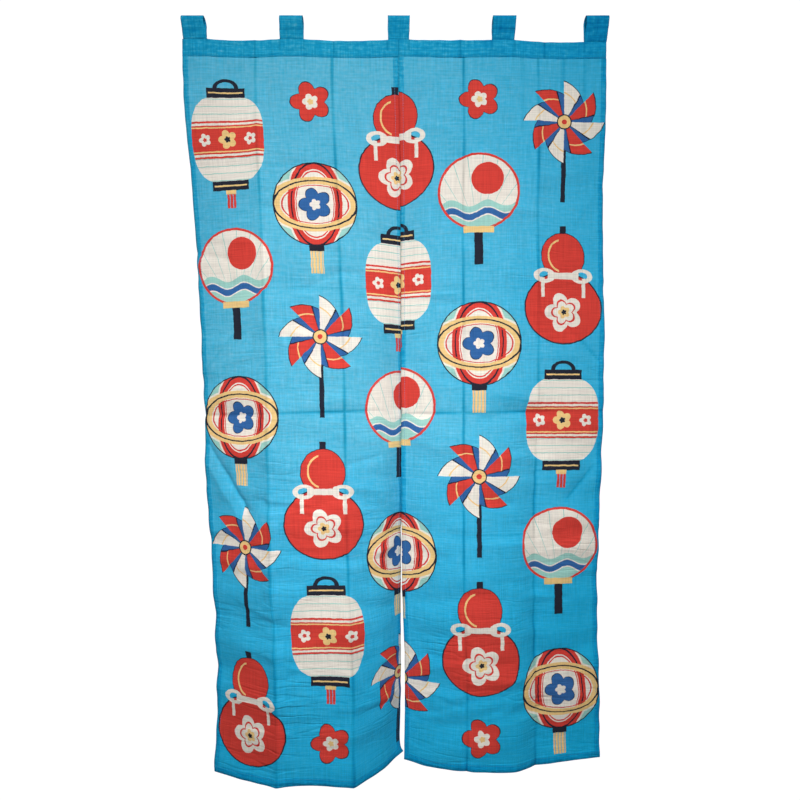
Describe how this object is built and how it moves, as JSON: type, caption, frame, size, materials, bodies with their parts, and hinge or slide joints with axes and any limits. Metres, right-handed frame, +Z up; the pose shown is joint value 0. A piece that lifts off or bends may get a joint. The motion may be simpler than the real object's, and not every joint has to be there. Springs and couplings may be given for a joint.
{
  "type": "noren curtain",
  "caption": "Doorway curtain of thin printed cloth that hangs in panels with a slit between them, from a stitched heading with tab loops for a rod.",
  "frame": {"origin": "on the centre line of the rod that the tab loops hang from, at the middle of the curtain's width", "axes": "+X to the right along the rod as seen from the front, +Y away from the viewer, +Z up"},
  "size_m": [0.8539, 0.1119, 1.548],
  "materials": {
    "printed_cloth": "matte thin plain weave with slubs, printed",
    "doubled_cloth": "matte plain weave, layers stitched together"
  },
  "bodies": {
    "root": {"panel_left": "printed_cloth", "panel_right": "printed_cloth", "heading": "doubled_cloth", "tab_1": "doubled_cloth", "tab_2": "doubled_cloth", "tab_3": "doubled_cloth", "tab_4": "doubled_cloth", "tab_5": "doubled_cloth"}
  },
  "joints": []
}
